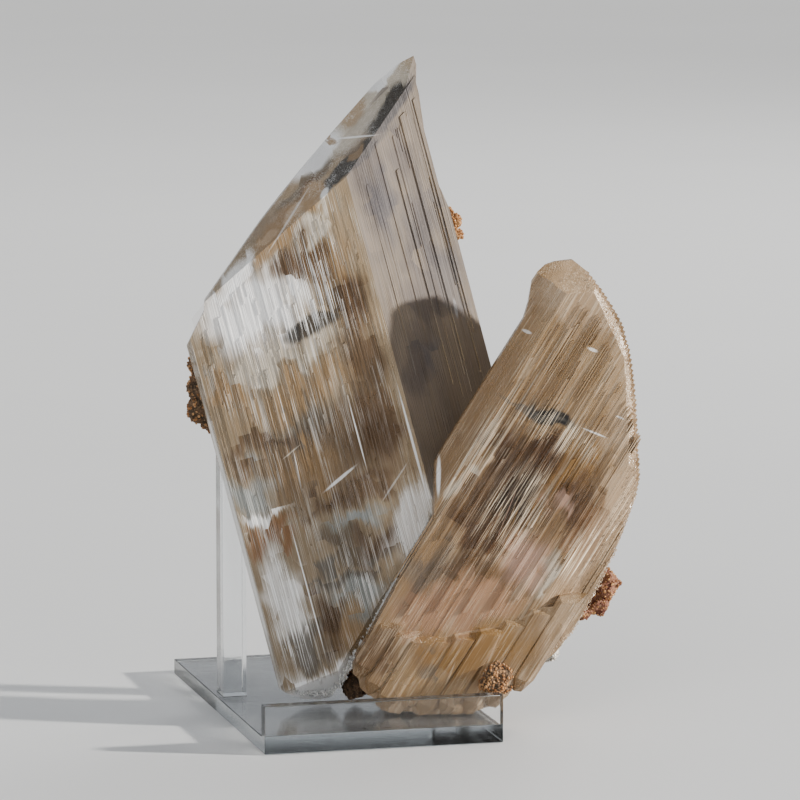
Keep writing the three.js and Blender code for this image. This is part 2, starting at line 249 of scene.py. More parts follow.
class Graph:
    """A material's nodes, with the few kinds that are used here."""

    def __init__(self, name):
        self.material = bpy.data.materials.new(name)
        self.material.use_nodes = True
        self.tree = self.material.node_tree
        self.shader = self.tree.nodes["Principled BSDF"]
        self.output = self.tree.nodes["Material Output"]
        self.turned = {}

    def node(self, kind, **settings):
        made = self.tree.nodes.new(kind)
        for key, value in settings.items():
            setattr(made, key, value)
        return made

    def link(self, source, target):
        self.tree.links.new(source, target)

    def put(self, value, socket):
        if isinstance(value, bpy.types.NodeSocket):
            self.link(value, socket)
        else:
            socket.default_value = value

    def math(self, operation, a, b=0.0, clamp=False):
        made = self.node("ShaderNodeMath", operation=operation, use_clamp=clamp)
        self.put(a, made.inputs[0])
        self.put(b, made.inputs[1])
        return made.outputs[0]

    def axes(self):
        return self.node("ShaderNodeAttribute", attribute_name="crystal_axes").outputs["Vector"]

    def place(self):
        """The place on the object in millimetres."""
        coordinates = self.node("ShaderNodeTexCoord").outputs["Object"]
        return self.stretched(coordinates, (1000, 1000, 1000))

    def stretched(self, vector, scale):
        made = self.node("ShaderNodeVectorMath", operation="MULTIPLY")
        self.put(vector, made.inputs[0])
        made.inputs[1].default_value = scale
        return made.outputs[0]

    def sum(self, a, b):
        made = self.node("ShaderNodeVectorMath", operation="ADD")
        self.put(a, made.inputs[0])
        self.put(b, made.inputs[1])
        return made.outputs[0]

    def noise(self, vector, scale, detail=3.0, roughness=0.55, distortion=0.0):
        made = self.node("ShaderNodeTexNoise")
        self.link(vector, made.inputs["Vector"])
        made.inputs["Scale"].default_value = scale
        made.inputs["Detail"].default_value = detail
        made.inputs["Roughness"].default_value = roughness
        made.inputs["Distortion"].default_value = distortion
        return made.outputs["Fac"]

    def ramp(self, value, low, high, to_low=0.0, to_high=1.0):
        made = self.node("ShaderNodeMapRange", interpolation_type="SMOOTHSTEP")
        self.put(value, made.inputs["Value"])
        made.inputs["From Min"].default_value = low
        made.inputs["From Max"].default_value = high
        made.inputs["To Min"].default_value = to_low
        made.inputs["To Max"].default_value = to_high
        return made.outputs["Result"]

    def mix(self, share, a, b):
        made = self.node("ShaderNodeMix", data_type="RGBA")
        self.put(share, made.inputs[0])
        self.put(a, made.inputs[6])
        self.put(b, made.inputs[7])
        return made.outputs[2]

    def blend(self, share, a, b):
        made = self.node("ShaderNodeMix", data_type="FLOAT")
        self.put(share, made.inputs[0])
        self.put(a, made.inputs[2])
        self.put(b, made.inputs[3])
        return made.outputs[0]

    def facing(self, direction, low, high):
        """1 where the surface faces a direction and 0 elsewhere."""
        normal = self.node("ShaderNodeNewGeometry").outputs["True Normal"]
        dot = self.node("ShaderNodeVectorMath", operation="DOT_PRODUCT")
        self.link(normal, dot.inputs[0])
        dot.inputs[1].default_value = direction
        return self.ramp(dot.outputs["Value"], low, high)

    def bump(self, height, distance, strength):
        made = self.node("ShaderNodeBump")
        made.inputs["Strength"].default_value = strength
        made.inputs["Distance"].default_value = distance
        self.link(height, made.inputs["Height"])
        return made.outputs["Normal"]

    def absorb(self, colour, density):
        made = self.node("ShaderNodeVolumeAbsorption")
        made.inputs["Color"].default_value = (*colour, 1)
        made.inputs["Density"].default_value = density
        self.link(made.outputs[0], self.output.inputs["Volume"])

    def set(self, **values):
        for key, value in values.items():
            self.put(value, self.shader.inputs[key.replace("_", " ").title().replace("Ior", "IOR")])


def rgba(red, green, blue):
    return (red, green, blue, 1.0)


def direction(axes, vector):
    return (axes.to_3x3() @ Vector(vector)).normalized()


def striations(graph, axes):
    """Fine lines along the crystal: a coarse and a fine set, which fade in and out."""
    coarse = graph.noise(graph.stretched(axes, (1.0, 1.0, 0.012)), 0.8, 1.0)
    fine = graph.noise(graph.stretched(axes, (1.0, 1.0, 0.012)), 4.8, 0.5)
    patches = graph.noise(graph.stretched(axes, (1.0, 1.0, 0.35)), 0.09, 0.0)
    strength = graph.ramp(patches, 0.35, 0.65, 0.35, 1.0)
    lines = graph.math("ADD", graph.math("MULTIPLY", coarse, 0.25), graph.math("MULTIPLY", fine, 0.75))
    return graph.math("MULTIPLY", lines, strength), lines


# Colours of the crystals' zones, each with the share of light that its cloudiness scatters back
BLUISH = ((0.58, 0.62, 0.60), 0.45)
# White for milky zones, also used for painted highlights and painted glints
WHITE = ((0.97, 0.96, 0.94), 0.92)
MILK = ((0.80, 0.73, 0.61), 0.66)
CREAM = ((0.60, 0.44, 0.29), 0.84)
TAN = ((0.50, 0.33, 0.17), 0.58)
BROWN = ((0.165, 0.082, 0.030), 0.50)
RUST = ((0.33, 0.17, 0.075), 0.66)
DARK = ((0.022, 0.018, 0.014), 0.72)
# Painted shade: a dark grey-brown standing for the dark of the glassy bevel and for the shade in the side
# face's grooves
PAINTED_SHADE = ((0.060, 0.050, 0.038), 0.88)
GREY = ((0.22, 0.20, 0.17), 0.45)
HONEY = ((0.46, 0.26, 0.085), 0.50)
PEACH = ((0.54, 0.32, 0.19), 0.62)
PINK = ((0.72, 0.48, 0.36), 0.72)

# Colours of the satin face
LILAC = ((0.062, 0.064, 0.088), 0.62)
WARM = ((0.13, 0.092, 0.070), 0.62)
FROST = ((0.20, 0.20, 0.22), 0.62)

# Cloudy zones on the faces: (u, w, half width, half height, turn in degrees, colour, cover). On the tall
# crystal the white zones at the upper left, down the left side, at the foot and in the lower-right triangle
# are milky crystal and partly painted highlight, where light catches.
TALL_ZONES = [
    (3, 130, 17, 14, 0, WHITE, 0.95), (21, 141, 8, 8, 0, BROWN, 0.8), (30, 138, 5, 7, 0, TAN, 0.7),
    (33, 126, 6, 10, 0, BROWN, 0.85), (26, 128, 4, 5, 0, DARK, 0.5), (31, 108, 8, 13, 0, BROWN, 0.7),
    (27, 152, 9, 3, -38, MILK, 0.8), (5, 113, 19, 4.5, 0, MILK, 0.8), (-13, 106, 8, 5, 0, TAN, 0.8),
    (8, 100, 20, 6, -8, TAN, 0.75), (31, 84, 9, 14, 0, BROWN, 0.75), (14, 80, 25, 13, -8, BROWN, 0.55),
    (8, 91, 14, 6, -8, GREY, 0.5), (-8, 87, 13, 4, -8, BROWN, 0.7), (-13, 74, 8, 7, -8, BLUISH, 0.8),
    (8, 76, 9, 8, 0, TAN, 0.7), (16, 66, 20, 4, -8, BROWN, 0.75), (-12, 66, 8, 2.6, -8, WHITE, 0.9),
    (-12, 60, 10, 3.4, -8, RUST, 0.9), (16, 58, 9, 3, -8, BLUISH, 0.9), (9, 51, 7, 5, -8, DARK, 0.6),
    (20, 48, 9, 5, -8, BROWN, 0.8), (8, 42, 14, 3, -8, GREY, 0.8), (35, 53, 7, 15, 42, WHITE, 0.75),
    (-12.5, 40, 6.5, 17, 0, WHITE, 0.8), (0, 28, 5, 10, 0, BROWN, 0.85), (11, 35, 9, 6, 0, BLUISH, 0.85),
    (-10, 23, 7, 7, 0, GREY, 0.7), (-9, 10, 12, 6, 0, WHITE, 1.0), (6, 22, 5, 8, 42, TAN, 0.8),
]
# Zones whose edges are hardly combed, on the bevel, the foot and the middle of the front. On the glassy
# bevel the dark zones are painted shade and the white ones are painted highlights; the white at the foot is
# partly a painted highlight.
TALL_STILL_ZONES = [
    (-9, 7, 13, 5.5, 0, WHITE, 1.0), (18, 120, 10, 3.4, -8, DARK, 0.85), (52, 180, 22, 6, -30, MILK, 0.8),
    (61, 180, 13, 3.6, -38, PAINTED_SHADE, 1.0), (62, 190, 9, 2, -30, WHITE, 0.95), (49, 181, 5, 3, -38, TAN, 0.75),
    (28, 163, 13, 2.0, -28, PAINTED_SHADE, 0.6), (24, 158, 12, 1.6, -38, BROWN, 0.7),
    (34, 171, 12, 3.6, -28, WHITE, 1.0), (41, 164.5, 18, 2.2, -28, PAINTED_SHADE, 1.0),
    (16, 151, 14, 4, -38, TAN, 0.85), (22, 156, 5, 1.6, -38, CREAM, 0.7),
    (12, 150, 4, 1.2, -38, CREAM, 0.6), (29, 159, 6, 3, -38, TAN, 0.9), (-1, 141, 10, 3, -38, WHITE, 0.8),
    (66, 194, 7, 1.4, -30, RUST, 0.8), (46, 168.2, 4, 1.0, -30, TAN, 0.6), (40, 174, 2.2, 1.2, 0, TAN, 0.9),
]
SIDE_ZONES = [
    (47, 158, 6, 20, 0, WARM, 0.7), (64, 122, 6, 10, 0, FROST, 0.6), (58, 132, 4, 7, 0, WARM, 0.6),
    (50, 150, 5, 12, 0, LILAC, 0.8), (62, 140, 6, 16, 0, LILAC, 0.6), (55, 118, 6, 10, 0, WARM, 0.6),
    (48, 100, 4, 12, 0, WARM, 0.7), (60, 165, 5, 9, 0, WARM, 0.7), (53, 104, 5, 5, 0, FROST, 0.5),
]
SHORT_ZONES = [
    (-9, 149, 12, 11, 0, CREAM, 0.7), (27, 118, 10, 30, -30, CREAM, 0.85), (2, 130, 22, 13, 0, TAN, 0.6),
    (9, 106, 20, 3, -10, TAN, 0.9), (16, 100, 8, 9, 0, HONEY, 0.9), (0, 96, 15, 9, -10, BROWN, 1.0),
    (6, 84, 11, 16, 0, BROWN, 0.8), (7, 84, 7, 11, 0, DARK, 0.7), (-7, 86, 2.6, 6, -10, CREAM, 0.9),
    (-8, 79, 3, 3, 0, MILK, 0.8), (24, 90, 8, 9, 0, BROWN, 0.95), (20, 87, 4, 4, 0, PINK, 0.7),
    (35, 84, 6, 14, 0, RUST, 0.8), (2, 71, 9, 8, 0, BROWN, 0.85), (19, 69, 7, 8, 0, PINK, 0.85),
    (28, 69, 4, 5, 0, MILK, 0.8), (5, 56, 13, 6, -30, BROWN, 0.65), (-4, 47, 5, 12, 0, GREY, 0.5),
    (15, 52, 14, 6, -30, PEACH, 0.85), (6, 38, 14, 9, -30, PEACH, 0.85), (22, 36, 18, 9, -38, HONEY, 0.8),
    (-4, 20, 5, 9, 0, BROWN, 0.6), (14, 18, 12, 7, -30, TAN, 0.9), (14, 25, 4, 4, 0, GREY, 0.6),
    (38, 62, 5, 18, -10, CREAM, 0.7),
]
SHORT_STILL_ZONES = [(4, 111.5, 9, 2.6, -10, DARK, 1.0), (-3, 110, 12, 1.2, -10, GREY, 0.6)]

# Thin marks: (u, w, half width, half length, turn in degrees, colour, cover). The white ones are painted
# highlights along edges and steps and painted glints, some along scratches; the dark ones are painted shade
# in grooves; the tinted ones are growth lines
TALL_MARKS = [
    (-4.3, 40, 0.3, 27, 0, WHITE, 0.95), (2.8, 96, 0.22, 13, 0, WHITE, 0.6),
    (2.4, 78, 0.3, 7, 3, WHITE, 0.7), (23.5, 83, 0.35, 13, 0, WHITE, 1.0),
    (39.6, 74, 0.5, 26, 0, WHITE, 1.0), (14.6, 71.3, 0.7, 8, 65, WHITE, 0.9),
    (31, 65.8, 0.4, 9, 48, WHITE, 0.5), (2, 83.4, 0.3, 4.5, 65, MILK, 0.8),
    (47, 173.5, 0.4, 9, 98, WHITE, 0.9), (-0.6, 140, 0.6, 12.5, 48, WHITE, 0.9),
    (20, 154, 0.4, 15, 48, WHITE, 0.5), (33, 159.4, 1.1, 2.6, 48, WHITE, 0.9),
    # Painted shade along the side face's two grooves
    (59.3, 128, 0.3, 22, 3, PAINTED_SHADE, 0.8), (66.8, 128, 0.45, 24, 3, PAINTED_SHADE, 0.8),
    (-20.6, 62, 0.9, 60, 0, WHITE, 0.8), (20, 31.4, 1.3, 27, 42, WHITE, 0.9),
    (64, 113, 0.7, 4, 4, WHITE, 0.9), (-6, 100, 0.2, 9, 0, WHITE, 0.5), (12, 138, 0.25, 8, 0, WHITE, 0.6),
]
SHORT_MARKS = [
    (10.8, 76, 0.22, 13, -10, HONEY, 1.0), (9.3, 76.5, 0.22, 13, -10, CREAM, 0.9),
    (7.6, 78, 0.2, 11, -10, PINK, 0.9), (12.4, 80, 0.2, 10, -10, CREAM, 0.8),
    (14, 82, 0.2, 9, -10, HONEY, 0.9), (6, 74, 0.2, 8, -10, CREAM, 0.8),
    # Painted glints on the short crystal
    (3.2, 136, 0.7, 2.2, 80, WHITE, 0.8), (-17.2, 130, 0.7, 2, 80, WHITE, 0.7),
    (17.5, 114.2, 0.4, 5, 80, WHITE, 0.8), (21.8, 122.5, 0.4, 1.8, 80, WHITE, 0.7),
    (17.4, 40.5, 0.5, 11, 48, CREAM, 0.5), (33.5, 60, 0.5, 14, 32, CREAM, 0.5),
    (6.1, 14, 0.4, 7, 0, CREAM, 0.8), (19.2, 24.6, 0.4, 7.5, -10, CREAM, 0.8),
    (27.2, 36, 0.4, 11, -10, CREAM, 0.8), (-2, 105.6, 0.7, 12, 80, TAN, 0.9),
    (-16.8, 77, 0.9, 8, -30, WHITE, 0.9), (-9.6, 92, 0.3, 34, 0, CREAM, 0.8),
    (-12.6, 84, 0.3, 16, 0, MILK, 0.7), (-7.2, 118, 0.25, 14, 0, MILK, 0.6),
    (6.5, 147, 0.3, 8, -8, MILK, 0.6),
]

# Painted glints: where the fine lines are painted white as if they caught the light: (u, w, half width,
# half height, turn in degrees)
TALL_PAINTED_GLINTS = [
    (34, 53, 9, 17, 42), (-12, 34, 8, 22, 0), (12, 35, 9, 7, 0), (12, 128, 24, 12, 0), (26, 141, 8, 10, 0),
]
SHORT_PAINTED_GLINTS = [(9, 80, 12, 20, 0), (8, 108, 18, 7, 0), (-10, 90, 5, 30, 0), (34, 80, 6, 12, 0)]


def turned_place(graph, place, turn):
    """The place in axes that are turned in the plane of the face, made once for each turn."""
    key = (place.node.name, turn)
    if turn and key not in graph.turned:
        cosine, sine = math.cos(math.radians(turn)), math.sin(math.radians(turn))
        both = graph.node("ShaderNodeCombineXYZ")
        for axis, socket in (((cosine, 0, -sine), "X"), ((sine, 0, cosine), "Z")):
            dot = graph.node("ShaderNodeVectorMath", operation="DOT_PRODUCT")
            graph.link(place, dot.inputs[0])
            dot.inputs[1].default_value = axis
            graph.link(dot.outputs["Value"], both.inputs[socket])
        graph.turned[key] = both.outputs[0]
    return graph.turned[key] if turn else place


def ellipse(graph, place, u, w, half_u, half_w, turn, inner, outer, strength):
    """A soft-edged ellipse on a crystal, as a share between 0 and the strength."""
    cosine, sine = math.cos(math.radians(turn)), math.sin(math.radians(turn))
    across, along = u * cosine - w * sine, u * sine + w * cosine
    local = graph.node("ShaderNodeVectorMath", operation="MULTIPLY_ADD")
    graph.link(turned_place(graph, place, turn), local.inputs[0])
    local.inputs[1].default_value = (1 / half_u, 0, 1 / half_w)
    local.inputs[2].default_value = (-across / half_u, 0, -along / half_w)
    reach = graph.node("ShaderNodeVectorMath", operation="LENGTH")
    graph.link(local.outputs[0], reach.inputs[0])
    return graph.ramp(reach.outputs["Value"], inner, outer, strength, 0.0)


def painted_glints(graph, axes, lines, mottle, entries):
    """The share of painted glints on the hairlines, painted white where light would catch them, which is
    largest in a few zones.
    """
    strength = graph.ramp(mottle, 0.38, 0.62, 0.08, 0.45)
    for entry in entries:
        strength = graph.math("MAXIMUM", strength, ellipse(graph, axes, *entry, 0.5, 1.2, 0.9))
    return graph.math("MULTIPLY", graph.ramp(lines, 0.53, 0.58), strength)


def shaded_zones(graph, axes, ground, zones, still_zones, marks):
    """The colour and cloudiness of each place: zones with combed edges, still ones, crisp marks, among them
    painted highlights and painted shade.
    """
    streak = graph.noise(graph.stretched(axes, (1.0, 0.0, 0.012)), 2.2, 1.0)
    combed = graph.node("ShaderNodeCombineXYZ")
    graph.link(graph.math("MULTIPLY", graph.math("SUBTRACT", streak, 0.5), 7.0), combed.inputs["Z"])
    ragged = graph.node("ShaderNodeTexNoise")
    graph.link(graph.stretched(axes, (1.0, 0.0, 0.7)), ragged.inputs["Vector"])
    ragged.inputs["Scale"].default_value = 0.13
    ragged.inputs["Detail"].default_value = 1.5
    blocks = graph.node("ShaderNodeTexVoronoi", distance="CHEBYCHEV")
    graph.link(graph.stretched(axes, (1.0, 0.0, 0.55)), blocks.inputs["Vector"])
    blocks.inputs["Scale"].default_value = 0.16
    uneven = graph.mix(0.28, ragged.outputs["Color"], blocks.outputs["Color"])
    push = graph.node("ShaderNodeVectorMath", operation="MULTIPLY_ADD")
    graph.link(uneven, push.inputs[0])
    push.inputs[1].default_value = (18, 0, 24)
    push.inputs[2].default_value = (-9, 0, -12)
    warped = graph.sum(axes, graph.sum(push.outputs[0], combed.outputs[0]))
    bent = graph.sum(axes, graph.stretched(push.outputs[0], (0.3, 0, 0.25)))

    colour = graph.node("ShaderNodeRGB").outputs[0]
    colour.default_value = (*ground[0], 1)
    cloud = graph.node("ShaderNodeValue").outputs[0]
    cloud.default_value = ground[1]
    layers = (
        (warped, 0.45, 1.35, zones),
        (bent, 0.7, 1.15, still_zones),
        (axes, 0.5, 1.0, marks),
    )
    for place, inner, outer, entries in layers:
        for u, w, half_u, half_w, turn, (tint, haze), cover in entries:
            share = ellipse(graph, place, u, w, half_u, half_w, turn, inner, outer, cover)
            colour = graph.mix(share, colour, rgba(*tint))
            cloud = graph.blend(share, cloud, haze)
    return colour, cloud


def tall_material():
    graph = Graph("tall_selenite")
    axes = graph.axes()
    relief, lines = striations(graph, axes)
    mottle = graph.noise(graph.stretched(axes, (1.0, 1.0, 0.5)), 0.12, 2.0)
    colour, cloud = shaded_zones(
        graph, axes, ((0.56, 0.43, 0.28), 0.46), TALL_ZONES + SIDE_ZONES, TALL_STILL_ZONES, TALL_MARKS)
    speckle = graph.noise(axes, 1.8, 1.0)
    side = graph.facing(direction(TALL, (0.48, -0.877, 0)), 0.90, 0.985)
    bevel = graph.facing(direction(TALL, (-0.5, -0.62, 1)), 0.94, 0.99)
    # Painted glints: the hairlines are whitened and clouded where light would catch them
    painted_glint = painted_glints(graph, axes, lines, mottle, TALL_PAINTED_GLINTS)
    front_colour = graph.mix(painted_glint, colour, rgba(0.99, 0.98, 0.95))
    satin = graph.mix(graph.ramp(mottle, 0.35, 0.65), rgba(0.062, 0.053, 0.056), rgba(0.110, 0.092, 0.086))
    satin = graph.mix(0.3, satin, colour)
    brushed = graph.math("MULTIPLY", graph.ramp(lines, 0.48, 0.62), 0.3)
    satin = graph.mix(brushed, satin, rgba(0.20, 0.18, 0.17))
    satin = graph.mix(graph.ramp(speckle, 0.52, 0.75, 0.0, 0.5), satin, rgba(0.19, 0.16, 0.14))
    haze = graph.math("ADD", cloud, graph.math("MULTIPLY", painted_glint, 0.4), clamp=True)
    haze = graph.blend(side, haze, 0.88)
    clearing = graph.blend(bevel, graph.ramp(mottle, 0.3, 0.7, 0.08, 0.20), 0.03)
    graph.set(
        base_color=graph.mix(side, front_colour, satin),
        roughness=graph.blend(side, clearing, 0.62),
        transmission_weight=graph.math("SUBTRACT", 1.0, haze, clamp=True),
        ior=SELENITE_IOR,
    )
    graph.link(graph.bump(relief, FINE_LINE_DEPTH, 0.6), graph.shader.inputs["Normal"])
    graph.absorb((0.90, 0.80, 0.66), 6.0)
    return graph.material


def short_material():
    graph = Graph("short_selenite")
    axes = graph.axes()
    relief, lines = striations(graph, axes)
    mottle = graph.noise(graph.stretched(axes, (1.0, 1.0, 0.5)), 0.12, 2.0)
    colour, cloud = shaded_zones(
        graph, axes, ((0.42, 0.275, 0.145), 0.55), SHORT_ZONES, SHORT_STILL_ZONES, SHORT_MARKS)
    border = graph.facing(direction(SHORT, (1, -0.2, 0)), 0.3, 0.8)
    colour = graph.mix(graph.math("MULTIPLY", border, 0.75), colour, rgba(0.36, 0.26, 0.17))
    # Painted glints: the hairlines are whitened and clouded where light would catch them
    painted_glint = painted_glints(graph, axes, lines, mottle, SHORT_PAINTED_GLINTS)
    haze = graph.math("ADD", cloud, graph.math("MULTIPLY", painted_glint, 0.3), clamp=True)
    graph.set(
        base_color=graph.mix(painted_glint, colour, rgba(0.90, 0.76, 0.58)),
        roughness=graph.ramp(mottle, 0.3, 0.7, 0.14, 0.32),
        transmission_weight=graph.math("SUBTRACT", 1.0, haze, clamp=True),
        ior=SELENITE_IOR,
    )
    graph.link(graph.bump(relief, FINE_LINE_DEPTH, 0.6), graph.shader.inputs["Normal"])
    graph.absorb((0.84, 0.64, 0.42), 8.0)
    return graph.material


def veil_material():
    graph = Graph("inner_veils")
    tint = graph.node("ShaderNodeAttribute", attribute_name="tint")
    graph.set(base_color=tint.outputs["Color"], alpha=tint.outputs["Alpha"], roughness=0.8)
    return graph.material


def stone_material(name, colours, seed):
    """A rough stone of three colours, grainy and pitted."""
    graph = Graph(name)
    at = graph.sum(graph.place(), (seed, seed * 2, seed * 3))
    broad = graph.noise(at, 0.35, 4.0)
    grains = graph.noise(at, 1.9, 4.0, 0.7)
    first = graph.mix(graph.ramp(broad, 0.42, 0.58), colours[0], colours[1])
    graph.set(
        base_color=graph.mix(graph.ramp(grains, 0.52, 0.68), first, colours[2]),
        roughness=graph.ramp(grains, 0.3, 0.7, 0.75, 0.98),
    )
    graph.link(graph.bump(grains, 0.0005, 0.8), graph.shader.inputs["Normal"])
    return graph.material


def acrylic_material():
    graph = Graph("clear_acrylic")
    place = graph.place()
    smears = graph.noise(graph.stretched(place, (1.0, 0.4, 1.0)), 0.05, 4.0, 0.6, 1.2)
    scratches = graph.noise(graph.stretched(place, (0.08, 2.4, 2.4)), 1.2, 2.0)
    graph.set(
        base_color=rgba(0.985, 0.995, 1.0),
        roughness=graph.ramp(smears, 0.45, 0.7, 0.01, 0.07),
        transmission_weight=1.0,
        ior=ACRYLIC_IOR,
    )
    graph.link(graph.bump(scratches, 0.00004, 0.3), graph.shader.inputs["Normal"])
    graph.absorb((0.80, 0.93, 0.96), 3.0)
    return graph.material


def floor_material():
    graph = Graph("pale_floor")
    place = graph.place()
    mottle = graph.noise(place, 0.004, 3.0)
    graph.set(
        base_color=graph.mix(mottle, rgba(0.70, 0.70, 0.69), rgba(0.74, 0.74, 0.73)),
        roughness=0.55,
    )
    return graph.material


# The crystals

tall_front = Face((TALL_FRONT_LEFT, 0), (TALL_FRONT_RIGHT, 0))
tall_side = Face((TALL_FRONT_RIGHT, 0), TALL_RIGHT_EDGE)
short_front = Face((-13, SHORT_FRONT), (32, SHORT_FRONT))
tall_slope = TALL_RIGHT_EDGE[1] / (TALL_RIGHT_EDGE[0] - TALL_FRONT_RIGHT)


def junction(name, inset):
    """The space behind the tall crystal's own faces; what is in front is the short crystal's."""
    front = MEETING_FRONT + inset
    far = 120
    section = [
        (-70, front), (TALL_FRONT_RIGHT + 0.5, front),
        (far, front + tall_slope * (far - TALL_FRONT_RIGHT)), (far, 90), (-70, 90),
    ]
    at_u, at_w = MEETING_AT
    outline = [
        (-70, -30), (at_u - (at_w + 30) / MEETING_SLOPE, -30 + inset),
        (far, at_w + MEETING_SLOPE * (far - at_u) + inset), (far, 260), (-70, 260),
    ]
    space = prism(name, section, -60, 270)
    return combine(space, prism("outline", outline, -40, 100, upright=False), "INTERSECT")


def lower_end(u):
    """Where the tall crystal's lower termination crosses u on its front face."""
    return max(9.0, 10.5 + 1.04 * u)


def upper_end(u):
    """Where the tall crystal's sloping top begins at u on its front face."""
    return min(136.5 + 0.5 * (u + 11.2), 126 + 0.9 * (u + 20))


def tall_crystal():
    thing = cad_copy("tall_crystal", "selenite_crystals", TALL)
    combine(thing, junction("tall_space", 0.0), "INTERSECT")

    def low(s):
        return lower_end(TALL_FRONT_LEFT + s)

    def high(s):
        return upper_end(TALL_FRONT_LEFT + s)

    raised = lanes(5, 1.0, 59.0, 1.0, low, high, 34, 0.6)
    combine(thing, bars("raised", tall_front, with_heights(raised, 6, -1.4, 0.03, 0.14)), "UNION")
    sunk = lanes(7, 1.2, 59.0, 1.7, low, high, 16, 0.3)
    combine(thing, bars("sunk", tall_front, with_heights(sunk, 8, 1.2, -0.25, -0.1)), "DIFFERENCE")

    def side_low(s):
        return 62 + s * 0.9

    def side_high(s):
        return 160 + s * 0.75

    raised = lanes(9, 19.0, 31.5, 0.9, side_low, side_high, 70, 0.5)
    combine(thing, bars("raised", tall_side, with_heights(raised, 10, -1.5, 0.015, 0.06)), "UNION")
    grooves = [(20.4, 0.4, 84, 150, 1.2, -0.35), (28.9, 0.6, 90, 156, 1.2, -0.5)]
    combine(thing, bars("grooves", tall_side, grooves), "DIFFERENCE")
    return keep_axes(thing, TALL)


def short_crystal():
    thing = cad_copy("short_crystal", "selenite_crystals", TALL)
    combine(thing, junction("tall_space", 0.1), "DIFFERENCE")
    thing.data.transform(SHORT.inverted() @ TALL)

    def low(s):
        return 40 + s * 0.5

    def high(s):
        return 150 - max(0.0, s - 12) * 0.85

    raised = lanes(21, 0.6, 44.5, 0.75, low, high, 55, 0.62)
    combine(thing, bars("raised", short_front, with_heights(raised, 22, -1.6, 0.03, 0.16)), "UNION")
    sunk = lanes(23, 0.8, 44.0, 1.5, low, high, 24, 0.35)
    combine(thing, bars("sunk", short_front, with_heights(sunk, 24, 1.6, -0.28, -0.1)), "DIFFERENCE")
    return keep_axes(thing, SHORT)


# Colours of the cloudy sheets inside the crystals
INNER_WHITE = (0.92, 0.91, 0.89)
INNER_CREAM = (0.80, 0.70, 0.58)
INNER_BROWN = (0.36, 0.24, 0.14)
INNER_DARK = (0.13, 0.11, 0.10)
INNER_HONEY = (0.52, 0.33, 0.15)
INNER_PEACH = (0.72, 0.47, 0.34)
INNER_BLUE = (0.66, 0.72, 0.76)

# Patches of the sheets: (u, w, half width, half height, colour, cover)
TALL_PATCHES = [
    (5, 129, 14, 10, INNER_WHITE, 0.85), (17, 139, 9, 8, INNER_BROWN, 0.75),
    (31, 128, 11, 9, INNER_BROWN, 0.85), (18.5, 120, 9, 3.4, INNER_DARK, 0.85),
    (4, 115, 20, 4, INNER_WHITE, 0.5), (-13, 106.5, 8, 4, INNER_BROWN, 0.65),
    (32, 105, 10, 11, INNER_BROWN, 0.75), (-7, 96, 15, 5, INNER_DARK, 0.35),
    (27, 80, 11, 8, INNER_BROWN, 0.85), (-12, 85, 11, 4.5, INNER_BROWN, 0.6),
    (-8, 72, 11, 5, INNER_BLUE, 0.5), (-10.5, 63.5, 8, 3, INNER_WHITE, 0.9),
    (-10.9, 58, 11, 3.2, INNER_HONEY, 0.85), (13.5, 59, 10, 4, INNER_BLUE, 0.8),
    (7, 51, 8, 5, INNER_DARK, 0.75), (20, 47.5, 8, 8, INNER_BROWN, 0.75),
    (-16, 43, 9, 12, INNER_WHITE, 0.7), (-0.5, 28, 8, 9, INNER_BROWN, 0.65),
    (12, 33.5, 8, 8, INNER_BLUE, 0.65), (-14, 20, 8, 8, INNER_WHITE, 0.45),
    (38, 168, 11, 6, INNER_WHITE, 0.8), (60, 181, 5, 9, INNER_DARK, 0.7), (17, 152, 9, 6, INNER_BROWN, 0.8),
    (52, 150, 12, 22, INNER_CREAM, 0.35),
]
SHORT_PATCHES = [
    (-8, 148, 11, 11, INNER_CREAM, 0.8), (26, 122, 9, 22, INNER_CREAM, 0.75),
    (-4, 126, 15, 11, INNER_CREAM, 0.6), (1.3, 111, 8, 3.4, INNER_DARK, 0.95),
    (3.6, 101.5, 16, 5, INNER_BROWN, 0.85), (13, 102, 11, 6, INNER_HONEY, 0.8),
    (2.5, 87, 14, 11, INNER_BROWN, 0.9), (-6.5, 82, 7, 5, INNER_CREAM, 0.9),
    (36, 87, 8, 8, INNER_HONEY, 0.7), (23, 66, 11, 8, INNER_PEACH, 0.95),
    (10.5, 78, 7, 8, INNER_BROWN, 0.8), (6.5, 65, 9, 7, INNER_PEACH, 0.8), (0, 55, 8, 7, INNER_DARK, 0.55),
    (3, 40, 15, 9, INNER_PEACH, 0.8), (20, 33, 18, 10, INNER_HONEY, 0.7),
    (-2.5, 19, 7, 9, INNER_BROWN, 0.8), (19.4, 24, 7, 5, INNER_DARK, 0.4),
]


def patch_tint(patches, u, w, seed):
    """The colour and cover at one place, from the patches around it, with ragged edges."""
    colour = Vector((0.78, 0.70, 0.62))
    cover = 0.12
    ragged = noise.noise(Vector((u * 0.13, w * 0.10, seed)))
    streak = noise.noise(Vector((u * 1.1, w * 0.05, seed + 9)))
    for at_u, at_w, half_u, half_w, patch, strength in patches:
        reach = math.hypot((u - at_u) / half_u, (w - at_w) / half_w) + 0.55 * ragged + 0.22 * streak
        share = min(1.0, max(0.0, 1.35 - reach) / 0.7)
        share = share * share * (3 - 2 * share) * strength
        colour = colour.lerp(Vector(patch), share)
        cover = cover + (1 - cover) * share
    return (*colour, min(1.0, cover))


